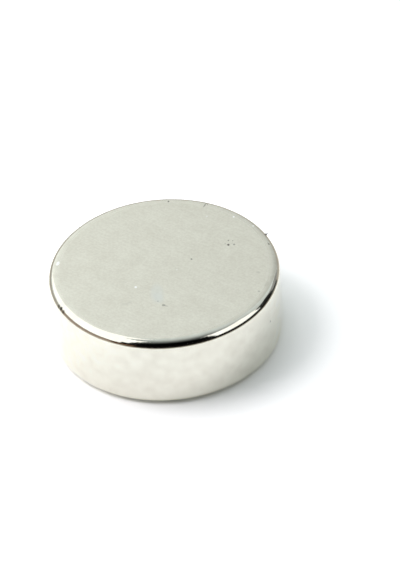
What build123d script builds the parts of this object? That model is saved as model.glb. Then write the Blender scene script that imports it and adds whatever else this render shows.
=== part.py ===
from build123d import *

import math
import os

# A nickel-plated sintered disc magnet, lying on one of its two flat faces.
# Lengths are millimetres and angles are degrees.
# The origin is the centre of the lower face, and +Z is up, along the axis of the disc.

# Driving dimensions of the ground blank
DIAMETER = 30.0
THICKNESS = 10.25

# The edge that tumbling leaves between each face and the side: the face first falls away
# over a narrow shoulder, and from there a tighter round turns down into the side
EDGE_RADIUS = 1.1
SHOULDER_WIDTH = 0.6
SHOULDER_SLOPE = 5.0

# Small dents knocked into the upper edge, where a hard corner has struck the brittle magnet.
# Each is turned round the axis from +X, and sits on the round between the side, at a lean of 0,
# and the face, at a lean of 90.
OUTER_DENT_TURN = 23.0
OUTER_DENT_LEAN = 33.0
OUTER_DENT_WIDTH = 0.36
OUTER_DENT_DEPTH = 0.07
INNER_DENT_TURN = 15.0
INNER_DENT_LEAN = 72.0
INNER_DENT_WIDTH = 0.28
INNER_DENT_DEPTH = 0.05

# Sizes that follow from the ones above
RADIUS = DIAMETER / 2
HALF_THICKNESS = THICKNESS / 2
SHOULDER_RADIUS = SHOULDER_WIDTH / math.sin(math.radians(SHOULDER_SLOPE))
SHOULDER_DROP = SHOULDER_RADIUS * (1 - math.cos(math.radians(SHOULDER_SLOPE)))
ROUND_TURN = 90 - SHOULDER_SLOPE
ROUND_WIDTH = EDGE_RADIUS * (1 - math.sin(math.radians(SHOULDER_SLOPE)))
FLAT_RADIUS = RADIUS - ROUND_WIDTH - SHOULDER_WIDTH


def magnet_section():
    """The half section, from the axis out to the side, that turns into the whole disc."""
    flat = Line((0, HALF_THICKNESS), (FLAT_RADIUS, HALF_THICKNESS))
    shoulder = JernArc(flat @ 1, flat % 1, SHOULDER_RADIUS, -SHOULDER_SLOPE)
    edge_round = JernArc(shoulder @ 1, shoulder % 1, EDGE_RADIUS, -ROUND_TURN)
    side_top = edge_round @ 1
    side = Line(side_top, (side_top.X, -side_top.Y))
    upper = [flat, shoulder, edge_round]
    lower = [mirror(curve, Plane.XZ) for curve in upper]
    axis = Line((0, HALF_THICKNESS), (0, -HALF_THICKNESS))
    section = make_face(upper + [side] + lower + [axis])
    return Plane.XZ * Pos(0, HALF_THICKNESS) * section


def edge_point(turn, lean, above=0.0):
    """The point on the upper round at that turn and lean, or that far above its surface."""
    out = RADIUS - EDGE_RADIUS + (EDGE_RADIUS + above) * math.cos(math.radians(lean))
    ring_height = THICKNESS - SHOULDER_DROP - EDGE_RADIUS * math.cos(math.radians(SHOULDER_SLOPE))
    up = ring_height + (EDGE_RADIUS + above) * math.sin(math.radians(lean))
    return Vector(out, 0, up).rotate(Axis.Z, turn)


def edge_dent(turn, lean, width, depth):
    """The ball whose cap, of that width and depth, is knocked out of the upper round."""
    ball_radius = (width ** 2 / 4 + depth ** 2) / (2 * depth)
    centre = edge_point(turn, lean, above=ball_radius - depth)
    return Pos(*centre) * Sphere(ball_radius)


def disc_magnet():
    """The finished magnet: one turned form, less the dents in its upper edge."""
    disc = revolve(magnet_section(), Axis.Z)
    disc -= edge_dent(OUTER_DENT_TURN, OUTER_DENT_LEAN, OUTER_DENT_WIDTH, OUTER_DENT_DEPTH)
    disc -= edge_dent(INNER_DENT_TURN, INNER_DENT_LEAN, INNER_DENT_WIDTH, INNER_DENT_DEPTH)
    return disc


os.makedirs("parts", exist_ok=True)
export_step(disc_magnet(), "parts/disc_magnet.step")
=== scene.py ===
import math
from collections import namedtuple

import bmesh
import bpy
from bpy.props import FloatProperty, FloatVectorProperty, IntProperty, PointerProperty
from bpy.types import Operator, Panel, PropertyGroup
from mathutils import Matrix, Quaternion, Vector, noise


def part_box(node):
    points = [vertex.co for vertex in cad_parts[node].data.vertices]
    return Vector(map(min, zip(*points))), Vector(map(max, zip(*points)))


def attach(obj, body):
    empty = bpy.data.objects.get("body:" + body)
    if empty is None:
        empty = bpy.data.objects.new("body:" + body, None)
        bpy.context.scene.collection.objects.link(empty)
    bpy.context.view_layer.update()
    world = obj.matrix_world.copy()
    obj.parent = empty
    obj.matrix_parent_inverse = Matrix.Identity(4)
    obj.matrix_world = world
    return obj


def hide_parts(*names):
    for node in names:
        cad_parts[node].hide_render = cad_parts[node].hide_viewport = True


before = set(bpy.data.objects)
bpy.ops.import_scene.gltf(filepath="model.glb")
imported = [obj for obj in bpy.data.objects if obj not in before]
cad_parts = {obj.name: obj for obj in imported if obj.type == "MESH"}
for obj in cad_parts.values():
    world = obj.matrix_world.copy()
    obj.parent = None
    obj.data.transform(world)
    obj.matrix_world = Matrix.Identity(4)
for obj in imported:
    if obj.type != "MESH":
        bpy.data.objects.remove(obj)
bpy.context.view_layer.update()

bl_info = {
    "name": "Disc Magnet",
    "version": (1, 0, 0),
    "blender": (4, 5, 0),
    "location": "View3D > Sidebar > Magnet",
    "description": "Builds a nickel-plated disc magnet and the white table it lies on",
    "category": "Object",
}

CAD_NODE = "disc_magnet"
CAD_BODY = "root"

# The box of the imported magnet, kept before anything is added
LOW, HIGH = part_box(CAD_NODE)

MM = 0.001
MICRON = 0.000001

# Faces along the flat, the shoulder, the round and half of the side
FLAT_STEPS = 4
SHOULDER_STEPS = 5
ROUND_STEPS = 18
SIDE_STEPS = 13

# A narrow ring round the flat, so that the shading of the shoulder stays off the face
FLAT_BORDER = 0.25 * MM

# The waves fade in from the face over this much of the round's width, and the finer ones from
# the side over this share of its height
WAVE_FADE = 0.3 * MM
EDGE_FADE = 0.25

# A dent in the upper edge, as the part's source has it: turned round the axis from +X, and set
# on the round between the side, at a lean of 0, and the face, at a lean of 90 degrees. Its
# width and depth are in millimetres.
Dent = namedtuple("Dent", "turn lean width depth")
EDGE_DENTS = (
    Dent(turn=23.0, lean=33.0, width=0.36, depth=0.07),
    Dent(turn=15.0, lean=72.0, width=0.28, depth=0.05),
)

# Cuts across each face round a dent, so that the dent comes out round
DENT_CUTS = 3

# A mark on the upper face: its place from the centre and its size, all in millimetres, how far
# it is turned, in degrees, its colour, and how much of that colour shows, from 0 to 1
Mark = namedtuple("Mark", "x y width length turn colour share")
# Dark brown: specks of dirt on the face and the edge, and painted dark reflection on the left of
# the edge
DIRT_AND_PAINTED_REFLECTION = "#2B2720"
# White for the glints, which are painted highlights where small pits in the plate catch the light
PAINTED_GLINT = "#FFFFFF"
HAZE = "#D9E0E0"
FACE_MARKS = (
    Mark(3.63, 1.42, 0.26, 0.34, 0, DIRT_AND_PAINTED_REFLECTION, 0.60),
    Mark(8.55, 3.78, 0.32, 0.42, 0, DIRT_AND_PAINTED_REFLECTION, 0.85),
    Mark(9.29, 3.76, 0.32, 0.36, 0, DIRT_AND_PAINTED_REFLECTION, 0.45),
    Mark(8.60, 4.67, 0.22, 0.30, 0, DIRT_AND_PAINTED_REFLECTION, 0.50),
    Mark(9.15, 4.55, 0.20, 0.26, 0, DIRT_AND_PAINTED_REFLECTION, 0.35),
    Mark(8.15, 4.05, 0.18, 0.24, 0, DIRT_AND_PAINTED_REFLECTION, 0.30),
    Mark(9.05, 4.10, 0.16, 0.20, 0, DIRT_AND_PAINTED_REFLECTION, 0.30),
    Mark(-0.38, -7.43, 0.50, 0.44, 0, DIRT_AND_PAINTED_REFLECTION, 0.42),
    Mark(-0.05, -7.62, 0.30, 0.60, 55, DIRT_AND_PAINTED_REFLECTION, 0.16),
    Mark(-1.07, -6.55, 0.22, 0.28, 0, DIRT_AND_PAINTED_REFLECTION, 0.40),
    Mark(-5.09, -6.61, 1.60, 0.60, 8, DIRT_AND_PAINTED_REFLECTION, 0.06),
    Mark(-4.60, -6.30, 0.50, 0.50, 0, DIRT_AND_PAINTED_REFLECTION, 0.07),
    Mark(1.26, 13.69, 0.24, 0.36, 0, DIRT_AND_PAINTED_REFLECTION, 0.70),
    Mark(5.94, 12.34, 0.20, 1.00, -25, DIRT_AND_PAINTED_REFLECTION, 0.45),
    Mark(6.25, 12.60, 0.16, 0.80, 20, DIRT_AND_PAINTED_REFLECTION, 0.40),
    Mark(12.02, -2.26, 0.60, 0.40, 0, DIRT_AND_PAINTED_REFLECTION, 0.12),
    Mark(11.91, -6.09, 0.36, 0.36, 0, DIRT_AND_PAINTED_REFLECTION, 0.24),
    Mark(13.00, -4.60, 0.60, 1.20, -20, DIRT_AND_PAINTED_REFLECTION, 0.08),
    # The glints are painted highlights: white laid into the plate's colour where it sparkles
    Mark(-3.77, -3.39, 0.36, 0.46, 0, PAINTED_GLINT, 1.00),
    Mark(9.57, 9.48, 0.28, 0.40, 0, PAINTED_GLINT, 1.00),
    Mark(6.09, 9.97, 0.26, 0.34, 0, PAINTED_GLINT, 0.50),
    Mark(12.01, 7.36, 0.26, 0.36, 0, PAINTED_GLINT, 0.90),
    Mark(1.66, -0.48, 0.26, 0.34, 0, PAINTED_GLINT, 0.35),
    Mark(-13.60, 2.56, 0.50, 0.90, -15, PAINTED_GLINT, 0.90),
    Mark(-1.12, -5.00, 1.80, 4.00, 0, HAZE, 0.28),
    Mark(-0.90, -5.90, 1.20, 2.40, 20, HAZE, 0.20),
)

# A spot on the edge or the side: turned round the axis from +X, that far out from it and that
# high, with a width, in millimetres, a colour and how much of it shows
Spot = namedtuple("Spot", "turn out height width colour share")
EDGE_SPOTS = (
    # The first three are painted reflection: a dark blot that widens the dark line the edge
    # reflects on its left
    Spot(201.8, 14.82, 9.74, 0.56, "#4A4232", 0.60),
    Spot(204.2, 14.78, 9.80, 0.56, DIRT_AND_PAINTED_REFLECTION, 0.85),
    Spot(206.8, 14.82, 9.74, 0.60, "#4A4232", 0.60),
    Spot(331.0, 15.00, 6.10, 0.34, DIRT_AND_PAINTED_REFLECTION, 0.50),
    Spot(14.0, 14.20, 10.20, 0.30, DIRT_AND_PAINTED_REFLECTION, 0.60),
)

# A splinter of iron that the magnet holds in a nick of its edge: where its foot stands on the
# upper round, how long and wide it is, in millimetres, and how steeply it stands up and how far
# it is swung round, in degrees
Splinter = namedtuple("Splinter", "turn lean length width steepness swing")
SPLINTERS = (
    Splinter(turn=23.4, lean=36.0, length=0.30, width=0.20, steepness=20.0, swing=30.0),
    Splinter(turn=23.8, lean=30.0, length=0.55, width=0.09, steepness=52.0, swing=-25.0),
    Splinter(turn=23.0, lean=44.0, length=0.34, width=0.08, steepness=60.0, swing=70.0),
)

# Each splinter has this many sides and a tip this much as wide as its foot, which is sunk this
# deep in the plate. Kinks this far apart push its corners about, by this share of its width.
SPLINTER_SIDES = 7
SPLINTER_TAPER = 1 / 3
SPLINTER_SINK = 0.02 * MM
SPLINTER_KINK = 0.1 * MM
SPLINTER_KINK_SHARE = 0.2

# Sizes in the finish, in millimetres: the streaks of grinding and the specks among them, the
# blotches on the face and on the side, the steps in the outline of a mark, the thickness of a
# mark's patch of colour, and the breaks in the iron
GRIND_STREAK = 0.22
SPECK = 0.28
FACE_BLOTCH = 2.4
SIDE_BLOTCH = 1.5
RAGGED_STEP = 0.14
MARK_THICKNESS = 1.0
IRON_BREAK = 0.06

# The streaks are this many times as long as they are wide, and turned this far from +X
GRIND_STRETCH = 9.0
GRIND_TURN = math.radians(-40)

# The share of the specks against the streaks, and of the blotches against both
SPECK_SHARE = 0.65
BLOTCH_SHARE = 0.35

# How high the grain of the ground faces stands
GRAIN_RELIEF = 2 * MICRON

# How far into the round the finish of the face reaches, as a share of the round's width, and
# that of the side, as a share of its height
FACE_INTO_ROUND = 0.15
SIDE_INTO_ROUND = 0.6

# A mark has its full share of colour within this much of its half size, and none beyond that
MARK_FULL = 0.55
MARK_GONE = 1.25

# A card round the magnet, seen only in its plating: between two azimuths, turned from +X, and
# two heights above the horizon, in degrees, that far out in millimetres. Its brightness runs
# from one value to another, where white is 1: along X from its left, or along Z from its foot.
Card = namedtuple(
    "Card", "name azimuth_from azimuth_to height_from height_to reach along first last tint")
CARDS = (
    Card("left_softbox", 104, 231, 17, 74, 500, "X", 1.5, 1.5, "#FFFFFF"),
    Card("right_softbox", 312, 366, 17, 56, 500, "X", 1.4, 1.4, "#FFFFFF"),
    Card("back_board", 40, 128, 13, 64, 110, "X", 1.44, 0.38, "#FAFEFC"),
    Card("right_flag", 362, 384, 0, 33, 480, "X", 0.02, 0.02, "#FFFFFF"),
    Card("far_flag", 384, 404, 0, 30, 480, "X", 0.34, 0.34, "#FFFFFF"),
    Card("camera_flag", 225, 313, -1, 32, 450, "X", 0.0, 0.0, "#FFFFFF"),
    Card("low_flag_right", 5, 18, 9, 21, 40, "Z", 0.06, 0.06, "#F4FFF8"),
    Card("low_flag_back", 18, 175, 9, 21, 40, "Z", 0.48, 0.48, "#FFFAF0"),
    Card("low_flag_left", 175, 226, 9, 21, 40, "Z", 0.45, 0.38, "#FFE4D0"),
    Card("low_flag_brown", 226, 244, 9, 21, 40, "Z", 0.13, 0.12, "#FFC9A0"),
    Card("low_flag_front", 244, 365, 9, 21, 40, "Z", 0.01, 0.01, "#FFF4E8"),
    Card("skirt_back", 0, 236, 0, 9, 40, "Z", 0.95, 0.40, "#FFFAF0"),
    Card("skirt_front", 236, 360, 0, 9, 40, "Z", 0.95, 0.05, "#FFF8EC"),
)

# Faces up a card and round it
CARD_RISE_STEPS = 12
CARD_TURN_STEPS = 36

# The room as the plating shows it, by how far back it lies, from -1 at the camera to 1 behind:
# dark up to one place, and from another as bright as it gets, where white is 1
ROOM_DARK_TO = -0.70
ROOM_BRIGHT_FROM = 0.50
ROOM_WHITE = 0.82

# Half the width of the table, in metres, and where along X its painted light is full and where it
# is gone
FLOOR_REACH = 3.0
PAINTED_LIGHT_FULL_AT = -22 * MM
PAINTED_LIGHT_GONE_AT = -8 * MM

# How far off the lamps stand, and how wide they are
LAMP_DISTANCE = 500 * MM
LAMP_WIDTH = 350 * MM

# How the camera of the photograph stands, from a fit to the outline of the disc: its height
# above the horizon and its roll, in degrees, its lens in millimetres, how far off it is, and
# how far to the right of the magnet's middle and above it the camera aims
CAMERA_HEIGHT = 39.66
CAMERA_ROLL = 3.9
CAMERA_LENS = 292.8
CAMERA_DISTANCE = 600 * MM
AIM_RIGHT = 4.40 * MM
AIM_UP = 1.75 * MM

# The camera sees nothing nearer or farther off than this, in metres
CAMERA_NEAR = 0.001
CAMERA_FAR = 10.0


def linear_colour(hex_code):
    """A colour written as #RRGGBB in sRGB, as the linear RGBA that shaders take."""
    shares = [int(hex_code[i:i + 2], 16) / 255 for i in (1, 3, 5)]
    linear = [s / 12.92 if s <= 0.04045 else ((s + 0.055) / 1.055) ** 2.4 for s in shares]
    return (*linear, 1.0)


def per_metre(size_mm):
    """The scale of a pattern on Object coordinates, in metres, whose features are that large."""
    return 1 / (size_mm * MM)


class MagnetSizes(PropertyGroup):
    """Sizes of the magnet, as the part's source has them, and of the waves in its surface"""
    radius: FloatProperty(
        name="Radius", description="Half the width of the packed magnet",
        default=min(HIGH.x - LOW.x, HIGH.y - LOW.y) / 2, unit="LENGTH", precision=5)
    thickness: FloatProperty(
        name="Thickness", description="From the lower face to the upper one",
        default=HIGH.z - LOW.z, unit="LENGTH", precision=5)
    edge_radius: FloatProperty(
        name="Edge round", description="Radius that tumbling gives the edges",
        default=1.1 * MM, unit="LENGTH", precision=5)
    shoulder_width: FloatProperty(
        name="Shoulder", description="Width over which the face falls away before the round",
        default=0.6 * MM, unit="LENGTH", precision=5)
    shoulder_slope: FloatProperty(
        name="Shoulder slope",
        description="How far the shoulder has turned where the round starts",
        default=math.radians(5), subtype="ANGLE")
    side_wave: FloatProperty(
        name="Side wave", description="Depth of the waves that grinding leaves in the side",
        default=7 * MICRON, unit="LENGTH", precision=6)
    side_wave_length: FloatProperty(
        name="Side wave length", description="Width of one wave in the side",
        default=1.3 * MM, unit="LENGTH", precision=5)
    edge_wave: FloatProperty(
        name="Edge wave", description="Depth of the hollows that tumbling leaves in the rounds",
        default=5 * MICRON, unit="LENGTH", precision=6)
    edge_wave_length: FloatProperty(
        name="Edge wave length", description="Width of one hollow in the rounds",
        default=0.38 * MM, unit="LENGTH", precision=5)
    wedges: IntProperty(
        name="Wedges", description="Like wedges that the disc is turned from", default=30, min=3)
    wedge_steps: IntProperty(
        name="Wedge steps", description="Faces round each wedge", default=30, min=2)


class PlateFinish(PropertyGroup):
    """Colours and polish of the plating, and the colours of the iron on it"""
    colour: FloatVectorProperty(
        name="Nickel", description="Colour of the nickel plate, head on",
        subtype="COLOR", size=4, min=0, max=1, default=linear_colour("#E9E8DD"))
    dull_colour: FloatVectorProperty(
        name="Dull nickel", description="Colour of the plate where it is blotchy",
        subtype="COLOR", size=4, min=0, max=1, default=linear_colour("#D7D4C8"))
    iron_colour: FloatVectorProperty(
        name="Iron", description="Colour of the splinters that cling to the edge",
        subtype="COLOR", size=4, min=0, max=1, default=linear_colour("#3A3632"))
    break_colour: FloatVectorProperty(
        name="Fresh iron", description="Colour of the lighter breaks in the splinters",
        subtype="COLOR", size=4, min=0, max=1, default=linear_colour("#6B655D"))
    face_roughness: FloatProperty(
        name="Face roughness", description="Satin of the ground faces", default=0.42, min=0, max=1)
    edge_roughness: FloatProperty(
        name="Edge roughness", description="Polish of the tumbled edges",
        default=0.10, min=0, max=1)
    side_roughness: FloatProperty(
        name="Side roughness", description="Gloss of the side", default=0.16, min=0, max=1)
    iron_roughness: FloatProperty(
        name="Iron roughness", description="Dullness of the iron", default=0.75, min=0, max=1)
    break_roughness: FloatProperty(
        name="Break roughness", description="Dullness of its breaks", default=0.45, min=0, max=1)


class StudioLook(PropertyGroup):
    """The table, the lamps and the light of the room"""
    floor_colour: FloatVectorProperty(
        name="Floor", description="Colour of the table", subtype="COLOR", size=4, min=0, max=1,
        default=linear_colour("#F2F2F2"))
    floor_white: FloatProperty(
        name="Floor white",
        description="How much brighter the camera and the plating see the floor",
        default=1.46, min=0)
    # Painted light: a pool of light on the left of the table that only the plating sees
    floor_painted_light: FloatProperty(
        name="Floor glow", description="How much brighter still the plating sees it on the left",
        default=0.12, min=0)
    # Painted shade: the rest of the table a little darker, seen only in the plating
    floor_painted_shade: FloatProperty(
        name="Floor dimming", description="How much less bright the plating sees the rest of it",
        default=0.03, min=0)
    key_power: FloatProperty(
        name="Key light", description="Power of the soft lamp on the left",
        default=1.0, subtype="POWER")
    top_power: FloatProperty(
        name="Top light", description="Power of the soft lamp above",
        default=0.6, subtype="POWER")
    lamp_colour: FloatVectorProperty(
        name="Lamp colour", description="Colour of both lamps, warm beside the fill",
        subtype="COLOR", size=4, min=0, max=1, default=linear_colour("#FFFAFD"))
    fill_colour: FloatVectorProperty(
        name="Fill colour", description="Colour of the room's light, cool beside the lamps",
        subtype="COLOR", size=4, min=0, max=1, default=linear_colour("#F5FEFF"))
    fill_strength: FloatProperty(
        name="Fill light", description="Strength of the room's light, at its brightest behind",
        default=1.04, min=0)


def add_node(tree, kind, inputs=None, **settings):
    """Adds a node, gives it its settings, and sets or links its inputs."""
    node = tree.nodes.new(kind)
    for name, value in settings.items():
        setattr(node, name, value)
    for socket, value in (inputs or {}).items():
        if isinstance(value, bpy.types.NodeSocket):
            tree.links.new(value, node.inputs[socket])
        else:
            node.inputs[socket].default_value = value
    return node


def new_material(name):
    """A material with an empty node tree, and that tree."""
    material = bpy.data.materials.new(name)
    material.use_nodes = True
    material.node_tree.nodes.clear()
    return material, material.node_tree


def show(bm, name, material, smooth=True):
    """Puts a finished mesh in the scene as one object, in the frame that the part shares."""
    mesh = bpy.data.meshes.new(name)
    bm.to_mesh(mesh)
    bm.free()
    mesh.polygons.foreach_set("use_smooth", [smooth] * len(mesh.polygons))
    mesh.materials.append(material)
    piece = bpy.data.objects.new(name, mesh)
    bpy.context.scene.collection.objects.link(piece)
    return piece


# Shape of the magnet

def draw_on(bm, vert, offset, steps=1):
    """Draws a straight line from a vertex, in even steps, and gives the vertex at its end."""
    for _ in range(steps):
        vert = bmesh.ops.extrude_vert_indiv(bm, verts=[vert])["verts"][0]
        bmesh.ops.translate(bm, verts=[vert], vec=Vector(offset) / steps)
    return vert


def bend_on(bm, vert, centre, angle, steps):
    """Draws an arc from a vertex, down and out about a centre, and gives the vertex at its end."""
    drawn = bmesh.ops.spin(bm, geom=[vert], cent=centre, axis=(0, 1, 0), angle=angle, steps=steps)
    return next(item for item in drawn["geom_last"] if isinstance(item, bmesh.types.BMVert))


def ring_centre(sizes):
    """How far out and how high the centre of the upper round lies."""
    shoulder_radius = sizes.shoulder_width / math.sin(sizes.shoulder_slope)
    drop = shoulder_radius * (1 - math.cos(sizes.shoulder_slope))
    height = sizes.thickness - drop - sizes.edge_radius * math.cos(sizes.shoulder_slope)
    return sizes.radius - sizes.edge_radius, height


def magnet_shell(sizes):
    """The turned form of the magnet, closed, as the part's source has it."""
    bm = bmesh.new()
    slope = sizes.shoulder_slope
    round_width = sizes.edge_radius * (1 - math.sin(slope))
    flat_radius = sizes.radius - round_width - sizes.shoulder_width
    shoulder_radius = sizes.shoulder_width / math.sin(slope)
    out, up = ring_centre(sizes)
    middle = sizes.thickness / 2
    pole = bm.verts.new((0, 0, sizes.thickness))
    flat_end = draw_on(bm, pole, (flat_radius - FLAT_BORDER, 0, 0), FLAT_STEPS)
    flat_end = draw_on(bm, flat_end, (FLAT_BORDER, 0, 0))
    shoulder_centre = (flat_radius, 0, sizes.thickness - shoulder_radius)
    shoulder_end = bend_on(bm, flat_end, shoulder_centre, slope, SHOULDER_STEPS)
    side_top = bend_on(bm, shoulder_end, (out, 0, up), math.pi / 2 - slope, ROUND_STEPS)
    draw_on(bm, side_top, (0, 0, middle - up), SIDE_STEPS)
    to_mid_plane = Matrix.Translation((0, 0, -middle))
    half = bm.verts[:] + bm.edges[:]
    bmesh.ops.mirror(bm, geom=half, matrix=to_mid_plane, merge_dist=MICRON, axis="Z")
    section = bm.verts[:] + bm.edges[:]
    wedge = math.tau / sizes.wedges
    bmesh.ops.spin(
        bm, geom=section, cent=(0, 0, 0), axis=(0, 0, 1), angle=wedge, steps=sizes.wedge_steps)
    turned = bm.verts[:] + bm.edges[:] + bm.faces[:]
    bmesh.ops.spin(
        bm, geom=turned, cent=(0, 0, 0), axis=(0, 0, 1), angle=math.tau - wedge,
        steps=sizes.wedges - 1, use_duplicate=True)
    bmesh.ops.remove_doubles(bm, verts=bm.verts[:], dist=MICRON)
    bmesh.ops.recalc_face_normals(bm, faces=bm.faces[:])
    return bm


def edge_place(sizes, turn, lean, above=0.0):
    """The point on the upper round at that turn and lean, or that far above its surface."""
    out, up = ring_centre(sizes)
    reach = sizes.edge_radius + above
    place = Vector((out + reach * math.cos(lean), 0, up + reach * math.sin(lean)))
    place.rotate(Quaternion((0, 0, 1), turn))
    return place


def refine_edge(bm, sizes, middle, reach):
    """Cuts the faces round a place on the upper round finer, with the new points on the round."""
    near = {v for v in bm.verts if (v.co - middle).length < reach}
    edges = [e for e in bm.edges if e.verts[0] in near and e.verts[1] in near]
    bmesh.ops.subdivide_edges(bm, edges=edges, cuts=DENT_CUTS, use_grid_fill=True)
    out, up = ring_centre(sizes)
    for vert in [v for v in bm.verts if (v.co - middle).length < reach]:
        across = Vector((vert.co.x, vert.co.y, 0)).normalized()
        ring = across * out + Vector((0, 0, up))
        outward = vert.co - ring
        if outward.dot(across) >= 0 and outward.z >= 0:
            vert.co = ring + outward.normalized() * sizes.edge_radius


def press_waves(bm, sizes):
    """Presses the waves of grinding into the side and those of tumbling into the rounds."""
    bm.normal_update()
    out, up = ring_centre(sizes)
    middle = sizes.thickness / 2
    straight = up - middle
    pressed = []
    for vert in bm.verts:
        away = math.hypot(vert.co.x, vert.co.y) - out
        if away <= 0:
            continue
        past_side = (abs(vert.co.z - middle) - straight) / (sizes.edge_radius * EDGE_FADE)
        on_edge = min(1.0, max(0.0, past_side))
        side = 0.5 + 0.5 * noise.noise(vert.co / sizes.side_wave_length)
        edge = 0.5 + 0.5 * noise.noise(vert.co / sizes.edge_wave_length)
        depth = sizes.side_wave * side + sizes.edge_wave * edge * on_edge
        depth *= min(1.0, away / WAVE_FADE)
        pressed.append((vert, vert.normal * depth))
    for vert, step in pressed:
        vert.co -= step


def press_dent(bm, sizes, dent):
    """Presses one dent into the upper edge, as deep as the ball that struck it went in."""
    turn, lean = math.radians(dent.turn), math.radians(dent.lean)
    width, depth = dent.width * MM, dent.depth * MM
    ball = (width ** 2 / 4 + depth ** 2) / (2 * depth)
    centre = edge_place(sizes, turn, lean, above=ball - depth)
    for vert in bm.verts:
        from_centre = vert.co - centre
        if from_centre.length < ball:
            vert.co = centre + from_centre.normalized() * ball


def magnet_mesh(sizes):
    """The whole magnet with its waves and dents."""
    bm = magnet_shell(sizes)
    for dent in EDGE_DENTS:
        place = edge_place(sizes, math.radians(dent.turn), math.radians(dent.lean))
        refine_edge(bm, sizes, place, dent.width * MM)
    press_waves(bm, sizes)
    for dent in EDGE_DENTS:
        press_dent(bm, sizes, dent)
    return bm


# Finish of the magnet

def noise_tone(tree, place, size_mm, detail, spread):
    """A tone from 0 to 1 in patches of that size, in millimetres. Less spread, more contrast."""
    patches = add_node(
        tree, "ShaderNodeTexNoise",
        {"Vector": place, "Scale": per_metre(size_mm), "Detail": detail}).outputs["Fac"]
    return add_node(
        tree, "ShaderNodeMapRange",
        {"Value": patches, "From Min": 0.5 - spread, "From Max": 0.5 + spread}).outputs[0]


def blend(tree, factor, low, high):
    """A value between two others."""
    return add_node(
        tree, "ShaderNodeMix", {"Factor": factor, "A": low, "B": high}).outputs["Result"]


def blend_colour(tree, factor, low, high):
    """A colour between two others."""
    return add_node(
        tree, "ShaderNodeMix", {"Factor": factor, 6: low, 7: high}, data_type="RGBA").outputs[2]


def cover(tree, place, centre, turn, size, share):
    """How much a mark at a centre covers a place: its share inside, and 0 outside."""
    off = add_node(
        tree, "ShaderNodeVectorMath", {0: place, 1: centre}, operation="SUBTRACT").outputs[0]
    turned = add_node(
        tree, "ShaderNodeVectorRotate", {"Vector": off, "Angle": -math.radians(turn)},
        rotation_type="Z_AXIS").outputs[0]
    per_half_size = [2 / (length * MM) for length in size]
    within = add_node(
        tree, "ShaderNodeVectorMath",
        {0: turned, 1: per_half_size}, operation="MULTIPLY").outputs[0]
    reach = add_node(
        tree, "ShaderNodeVectorMath", {0: within}, operation="LENGTH").outputs["Value"]
    return add_node(
        tree, "ShaderNodeMapRange",
        {"Value": reach, "From Min": MARK_GONE, "From Max": MARK_FULL, "To Max": share},
        interpolation_type="SMOOTHSTEP").outputs[0]


def ragged(tree, place, step_mm):
    """Places pushed about a little, so that the marks drawn from them get ragged outlines."""
    push = add_node(
        tree, "ShaderNodeTexNoise",
        {"Vector": place, "Scale": per_metre(step_mm), "Detail": 1.0}).outputs["Color"]
    centred = add_node(
        tree, "ShaderNodeVectorMath",
        {0: push, 1: (0.5, 0.5, 0.5)}, operation="SUBTRACT").outputs[0]
    return add_node(
        tree, "ShaderNodeVectorMath",
        {0: centred, 1: [step_mm * MM] * 3, 2: place}, operation="MULTIPLY_ADD").outputs[0]


def add_marks(tree, place, sizes, colour):
    """Lays the specks and scratches of the photograph over the colour of the plate, and its glints
    as painted highlights.
    """
    rough_place = ragged(tree, place, RAGGED_STEP)
    for mark in FACE_MARKS:
        centre = (mark.x * MM, mark.y * MM, sizes.thickness)
        size = (mark.width, mark.length, MARK_THICKNESS)
        covered = cover(tree, rough_place, centre, mark.turn, size, mark.share)
        colour = blend_colour(tree, covered, colour, linear_colour(mark.colour))
    # Some of these spots are painted dark reflection, not dirt
    for spot in EDGE_SPOTS:
        centre = Vector((spot.out * MM, 0, spot.height * MM))
        centre.rotate(Quaternion((0, 0, 1), math.radians(spot.turn)))
        covered = cover(tree, rough_place, centre, 0, [spot.width] * 3, spot.share)
        colour = blend_colour(tree, covered, colour, linear_colour(spot.colour))
    return colour


def plate_zones(tree, place, sizes):
    """How far a place is off the flat face, and how far it is on a round, each from 0 to 1."""
    flat_place = add_node(
        tree, "ShaderNodeVectorMath", {0: place, 1: (1, 1, 0)}, operation="MULTIPLY").outputs[0]
    away = add_node(
        tree, "ShaderNodeVectorMath", {0: flat_place}, operation="LENGTH").outputs["Value"]
    face_end = sizes.radius - sizes.edge_radius - sizes.shoulder_width
    satin_end = sizes.radius - sizes.edge_radius * (1 - FACE_INTO_ROUND)
    off_face = add_node(
        tree, "ShaderNodeMapRange",
        {"Value": away, "From Min": face_end, "From Max": satin_end},
        interpolation_type="SMOOTHSTEP").outputs[0]
    height = add_node(tree, "ShaderNodeSeparateXYZ", {0: place}).outputs["Z"]
    from_middle = add_node(
        tree, "ShaderNodeMath",
        {0: height, 1: sizes.thickness / 2}, operation="SUBTRACT").outputs[0]
    off_middle = add_node(
        tree, "ShaderNodeMath", {0: from_middle}, operation="ABSOLUTE").outputs[0]
    side_end = ring_centre(sizes)[1] - sizes.thickness / 2
    gloss_end = side_end + sizes.edge_radius * SIDE_INTO_ROUND
    on_edge = add_node(
        tree, "ShaderNodeMapRange",
        {"Value": off_middle, "From Min": side_end, "From Max": gloss_end},
        interpolation_type="SMOOTHSTEP").outputs[0]
    return off_face, on_edge


def ground_grain(tree, place):
    """The streaks of grinding and the specks among them, as a tone from 0 to 1."""
    along_grind = add_node(
        tree, "ShaderNodeMapping",
        {"Vector": place, "Rotation": (0, 0, GRIND_TURN), "Scale": (GRIND_STRETCH, 1.0, 1.0)},
        vector_type="TEXTURE").outputs[0]
    streaks = noise_tone(tree, along_grind, GRIND_STREAK, detail=1.0, spread=0.22)
    specks = noise_tone(tree, place, SPECK, detail=1.0, spread=0.20)
    return blend(tree, SPECK_SHARE, streaks, specks)


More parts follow.
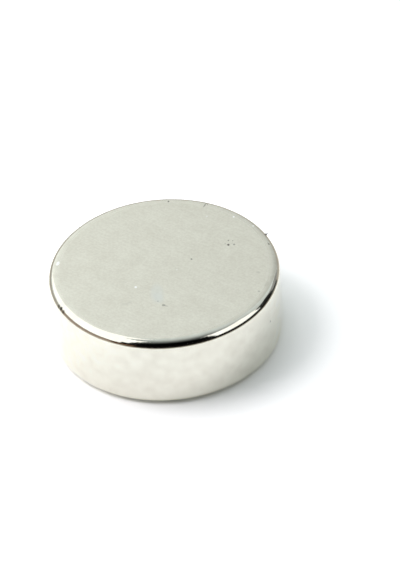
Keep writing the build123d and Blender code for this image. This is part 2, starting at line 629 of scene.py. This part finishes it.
# The plate is bright nickel, plated over metal that was ground on its faces and then tumbled.
# The faces keep the grind as a satin with faint streaks, and the side and the edges are glossy,
# so that the faces show the room as one soft tone and the edges show it as sharp bright lines.
def nickel_plate(sizes, finish):
    """The plating: satin faces with streaks and specks, polished edges and a glossy side."""
    material, tree = new_material("nickel plate")
    place = add_node(tree, "ShaderNodeTexCoord").outputs["Object"]
    off_face, on_edge = plate_zones(tree, place, sizes)
    side_or_edge = blend(tree, on_edge, finish.side_roughness, finish.edge_roughness)
    roughness = blend(tree, off_face, finish.face_roughness, side_or_edge)
    grain = ground_grain(tree, place)
    blotches = noise_tone(tree, place, FACE_BLOTCH, detail=3.0, spread=0.28)
    face_tone = blend(tree, BLOTCH_SHARE, grain, blotches)
    side_tone = noise_tone(tree, place, SIDE_BLOTCH, detail=2.0, spread=0.40)
    tone = blend(tree, off_face, face_tone, side_tone)
    plate = blend_colour(tree, tone, finish.dull_colour, finish.colour)
    # The marks hold painted highlights on the face and painted dark reflection on the left of the
    # edge, beside real specks and scratches
    colour = add_marks(tree, place, sizes, plate)
    grain_height = blend(tree, off_face, grain, 0.5)
    relief = add_node(
        tree, "ShaderNodeBump",
        {"Height": grain_height, "Distance": GRAIN_RELIEF, "Strength": 1.0}).outputs["Normal"]
    shader = add_node(
        tree, "ShaderNodeBsdfPrincipled",
        {"Base Color": colour, "Metallic": 1.0, "Roughness": roughness, "Normal": relief})
    add_node(tree, "ShaderNodeOutputMaterial", {"Surface": shader.outputs[0]})
    return material


# The iron is bare and torn, from whatever the magnet was last dragged over. It is dull and
# almost black against the plating, with a few lighter breaks.
def bare_iron(finish):
    """Dull dark iron with lighter breaks."""
    material, tree = new_material("bare iron")
    place = add_node(tree, "ShaderNodeTexCoord").outputs["Object"]
    breaks = noise_tone(tree, place, IRON_BREAK, detail=2.0, spread=0.20)
    colour = blend_colour(tree, breaks, finish.iron_colour, finish.break_colour)
    roughness = blend(tree, breaks, finish.iron_roughness, finish.break_roughness)
    shader = add_node(
        tree, "ShaderNodeBsdfPrincipled",
        {"Base Color": colour, "Metallic": 1.0, "Roughness": roughness})
    add_node(tree, "ShaderNodeOutputMaterial", {"Surface": shader.outputs[0]})
    return material


def splinter_mesh(sizes):
    """The splinters, each a thin prism that tapers from its foot on the edge to its tip."""
    bm = bmesh.new()
    for splinter in SPLINTERS:
        turn, lean = math.radians(splinter.turn), math.radians(splinter.lean)
        foot = edge_place(sizes, turn, lean, above=-SPLINTER_SINK)
        steepness = math.radians(splinter.steepness)
        way = Vector((math.cos(steepness), 0, math.sin(steepness)))
        way.rotate(Quaternion((0, 0, 1), turn + math.radians(splinter.swing)))
        length, width = splinter.length * MM, splinter.width * MM
        stand = way.to_track_quat("Z", "X").to_matrix().to_4x4()
        made = bmesh.ops.create_cone(
            bm, cap_ends=True, segments=SPLINTER_SIDES, radius1=width / 2,
            radius2=width / 2 * SPLINTER_TAPER, depth=length,
            matrix=Matrix.Translation(foot + way * length / 2) @ stand)
        for vert in made["verts"]:
            kink = noise.noise_vector(vert.co / SPLINTER_KINK)
            vert.co += kink * width * SPLINTER_KINK_SHARE
    bmesh.ops.recalc_face_normals(bm, faces=bm.faces[:])
    return bm


# The studio

# The table is a sheet of white card, matt and without any grain that shows at this size. The
# camera and the plating see it lifted to white, as a bright backdrop, and it keeps its shadow.
# The plating sees a pool of painted light on its left, which makes the magnet's side brightest
# there, and a little painted shade over the rest.
def white_table(look):
    """A plain white matt table."""
    material, tree = new_material("white table card")
    path = add_node(tree, "ShaderNodeLightPath").outputs
    seen = add_node(
        tree, "ShaderNodeMath",
        {0: path["Is Camera Ray"], 1: path["Is Glossy Ray"]}, operation="ADD").outputs[0]
    seen = add_node(
        tree, "ShaderNodeMath",
        {0: seen, 1: path["Is Transmission Ray"]}, operation="ADD", use_clamp=True).outputs[0]
    place = add_node(tree, "ShaderNodeTexCoord").outputs["Object"]
    across = add_node(tree, "ShaderNodeSeparateXYZ", {0: place}).outputs["X"]
    # Painted light on the left of the table and painted shade over the rest, both seen only in
    # reflections
    glow = add_node(
        tree, "ShaderNodeMapRange",
        {"Value": across, "From Min": PAINTED_LIGHT_FULL_AT, "From Max": PAINTED_LIGHT_GONE_AT,
         "To Min": look.floor_painted_light, "To Max": -look.floor_painted_shade},
        interpolation_type="SMOOTHSTEP").outputs[0]
    white = add_node(
        tree, "ShaderNodeMath",
        {0: glow, 1: path["Is Glossy Ray"], 2: look.floor_white}, operation="MULTIPLY_ADD"
        ).outputs[0]
    lift = blend(tree, seen, 1.0, white)
    colour = add_node(
        tree, "ShaderNodeVectorMath",
        {0: look.floor_colour[:3], "Scale": lift}, operation="SCALE").outputs[0]
    shader = add_node(tree, "ShaderNodeBsdfDiffuse", {"Color": colour})
    add_node(tree, "ShaderNodeOutputMaterial", {"Surface": shader.outputs[0]})
    return material


# A softbox is white cloth lit from behind, a board is white card that catches the light, and a
# flag is black cloth. Only the plating shows them: the bright ones give it its long highlights
# and soft tones, and the flags its dark lines.
def studio_cloth(card):
    """A card of soft light, or of next to none where it is a flag."""
    material, tree = new_material(card.name.replace("_", " "))
    place = add_node(tree, "ShaderNodeTexCoord").outputs["Object"]
    run = add_node(tree, "ShaderNodeSeparateXYZ", {0: place}).outputs[card.along]
    reach = card.reach * MM
    foot, head = (reach * math.sin(math.radians(h)) for h in (card.height_from, card.height_to))
    start, end = (-reach, reach) if card.along == "X" else (foot, head)
    strength = add_node(
        tree, "ShaderNodeMapRange",
        {"Value": run, "From Min": start, "From Max": end,
         "To Min": card.first, "To Max": card.last}).outputs[0]
    glow = add_node(
        tree, "ShaderNodeEmission", {"Color": linear_colour(card.tint), "Strength": strength})
    add_node(tree, "ShaderNodeOutputMaterial", {"Surface": glow.outputs[0]})
    return material


def make_floor(look):
    """The table, large enough for every view."""
    bm = bmesh.new()
    bmesh.ops.create_grid(bm, x_segments=1, y_segments=1, size=FLOOR_REACH)
    floor = show(bm, "floor", white_table(look), smooth=False)


def make_card(card):
    """A curved card round the magnet, seen in reflections only."""
    bm = bmesh.new()
    reach = card.reach * MM
    start, end = math.radians(card.height_from), math.radians(card.height_to)
    foot = bm.verts.new((reach * math.cos(start), 0, reach * math.sin(start)))
    bmesh.ops.spin(
        bm, geom=[foot], cent=(0, 0, 0), axis=(0, -1, 0), angle=end - start,
        steps=CARD_RISE_STEPS)
    first, last = math.radians(card.azimuth_from), math.radians(card.azimuth_to)
    bmesh.ops.rotate(bm, verts=bm.verts[:], cent=(0, 0, 0), matrix=Matrix.Rotation(first, 3, "Z"))
    upright = bm.verts[:] + bm.edges[:]
    bmesh.ops.spin(
        bm, geom=upright, cent=(0, 0, 0), axis=(0, 0, 1), angle=last - first,
        steps=CARD_TURN_STEPS)
    piece = show(bm, card.name, studio_cloth(card))
    piece.visible_camera = False
    piece.visible_diffuse = False
    piece.visible_shadow = False
    piece.visible_transmission = False


# The room is plain white to the camera. Its light on everything is brightest behind the magnet,
# and the plating shows it bright behind and dark towards the camera.
def make_world(look):
    """The light of the room."""
    world = bpy.data.worlds.new("studio")
    world.use_nodes = True
    tree = world.node_tree
    tree.nodes.clear()
    bpy.context.scene.world = world
    path = add_node(tree, "ShaderNodeLightPath").outputs
    way = add_node(tree, "ShaderNodeTexCoord").outputs["Generated"]
    to_back = add_node(tree, "ShaderNodeSeparateXYZ", {0: way}).outputs["Y"]
    room = add_node(
        tree, "ShaderNodeMapRange",
        {"Value": to_back, "From Min": ROOM_DARK_TO, "From Max": ROOM_BRIGHT_FROM,
         "To Max": ROOM_WHITE},
        interpolation_type="SMOOTHSTEP").outputs[0]
    fill = add_node(
        tree, "ShaderNodeMapRange",
        {"Value": to_back, "From Min": -1.0, "To Max": look.fill_strength}).outputs[0]
    lit = blend(tree, path["Is Glossy Ray"], fill, room)
    strength = blend(tree, path["Is Camera Ray"], lit, 1.0)
    colour = blend_colour(tree, path["Is Camera Ray"], look.fill_colour, (1, 1, 1, 1))
    back = add_node(tree, "ShaderNodeBackground", {"Color": colour, "Strength": strength})
    add_node(tree, "ShaderNodeOutputWorld", {"Surface": back.outputs[0]})


def aim(thing, place, target, roll=0.0):
    """Puts a camera or lamp at a place, looking at a target."""
    thing.location = place
    thing.rotation_mode = "QUATERNION"
    facing = (Vector(target) - Vector(place)).to_track_quat("-Z", "Y")
    thing.rotation_quaternion = facing @ Quaternion((0, 0, 1), roll)


def make_lamp(name, azimuth, height, power, colour):
    """A large round soft lamp. The plating shows the cards instead of it."""
    lamp = bpy.data.lights.new(name, "AREA")
    lamp.shape = "DISK"
    lamp.size = LAMP_WIDTH
    lamp.color = colour[:3]
    lamp.energy = power
    holder = bpy.data.objects.new(name, lamp)
    bpy.context.scene.collection.objects.link(holder)
    a, h = math.radians(azimuth), math.radians(height)
    way = Vector((math.cos(a) * math.cos(h), math.sin(a) * math.cos(h), math.sin(h)))
    aim(holder, way * LAMP_DISTANCE, (0, 0, 0))
    holder.visible_glossy = False


def make_camera(sizes):
    """The camera, at the photograph's angle and distance."""
    data = bpy.data.cameras.new("camera")
    data.lens = CAMERA_LENS
    data.clip_start = CAMERA_NEAR
    data.clip_end = CAMERA_FAR
    camera = bpy.data.objects.new("camera", data)
    bpy.context.scene.collection.objects.link(camera)
    height, roll = math.radians(CAMERA_HEIGHT), math.radians(CAMERA_ROLL)
    middle = Vector((0, 0, sizes.thickness / 2))
    back = Vector((0, -math.cos(height), math.sin(height)))
    up = Vector((0, math.sin(height), math.cos(height)))
    right = Vector((1, 0, 0))
    right_in_view = right * math.cos(roll) - up * math.sin(roll)
    up_in_view = right * math.sin(roll) + up * math.cos(roll)
    target = middle + right_in_view * AIM_RIGHT + up_in_view * AIM_UP
    aim(camera, middle + back * CAMERA_DISTANCE, target, -roll)
    bpy.context.scene.camera = camera
    bpy.context.scene.view_settings.view_transform = "Standard"


class MAGNET_OT_body(Operator):
    """Builds the plated magnet"""
    bl_idname = "magnet.body"
    bl_label = "Magnet"

    def execute(self, context):
        scene = context.scene
        material = nickel_plate(scene.magnet_sizes, scene.plate_finish)
        piece = show(magnet_mesh(scene.magnet_sizes), "disc_magnet_body", material)
        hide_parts(CAD_NODE)
        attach(piece, CAD_BODY)
        return {"FINISHED"}


class MAGNET_OT_splinters(Operator):
    """Stands the iron splinters in the nick of the edge"""
    bl_idname = "magnet.splinters"
    bl_label = "Iron splinters"

    def execute(self, context):
        scene = context.scene
        material = bare_iron(scene.plate_finish)
        piece = show(splinter_mesh(scene.magnet_sizes), "iron_splinters", material, smooth=False)
        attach(piece, CAD_BODY)
        return {"FINISHED"}


class MAGNET_OT_stage(Operator):
    """Lays the white table, and sets up the cards, the lamps and the camera"""
    bl_idname = "magnet.stage"
    bl_label = "Table and lights"

    def execute(self, context):
        scene = context.scene
        look = scene.studio_look
        make_floor(look)
        for card in CARDS:
            make_card(card)
        make_world(look)
        make_lamp(
            "key_light", azimuth=175, height=50, power=look.key_power, colour=look.lamp_colour)
        make_lamp(
            "top_light", azimuth=162, height=70, power=look.top_power, colour=look.lamp_colour)
        make_camera(scene.magnet_sizes)
        return {"FINISHED"}


class MAGNET_PT_panel(Panel):
    """Lists the steps that build the magnet"""
    bl_label = "Disc Magnet"
    bl_idname = "MAGNET_PT_panel"
    bl_space_type = "VIEW_3D"
    bl_region_type = "UI"
    bl_category = "Magnet"

    def draw(self, context):
        column = self.layout.column(align=True)
        for step in STEPS:
            column.operator(step.bl_idname)


GROUPS = {"magnet_sizes": MagnetSizes, "plate_finish": PlateFinish, "studio_look": StudioLook}
STEPS = (MAGNET_OT_body, MAGNET_OT_splinters, MAGNET_OT_stage)
CLASSES = (*GROUPS.values(), *STEPS, MAGNET_PT_panel)


def register():
    for cls in CLASSES:
        bpy.utils.register_class(cls)
    for name, group in GROUPS.items():
        setattr(bpy.types.Scene, name, PointerProperty(type=group))


def unregister():
    for name in GROUPS:
        delattr(bpy.types.Scene, name)
    for cls in reversed(CLASSES):
        bpy.utils.unregister_class(cls)


def main():
    register()
    bpy.ops.magnet.body()
    bpy.ops.magnet.splinters()
    bpy.ops.magnet.stage()


if __name__ == "__main__":
    main()
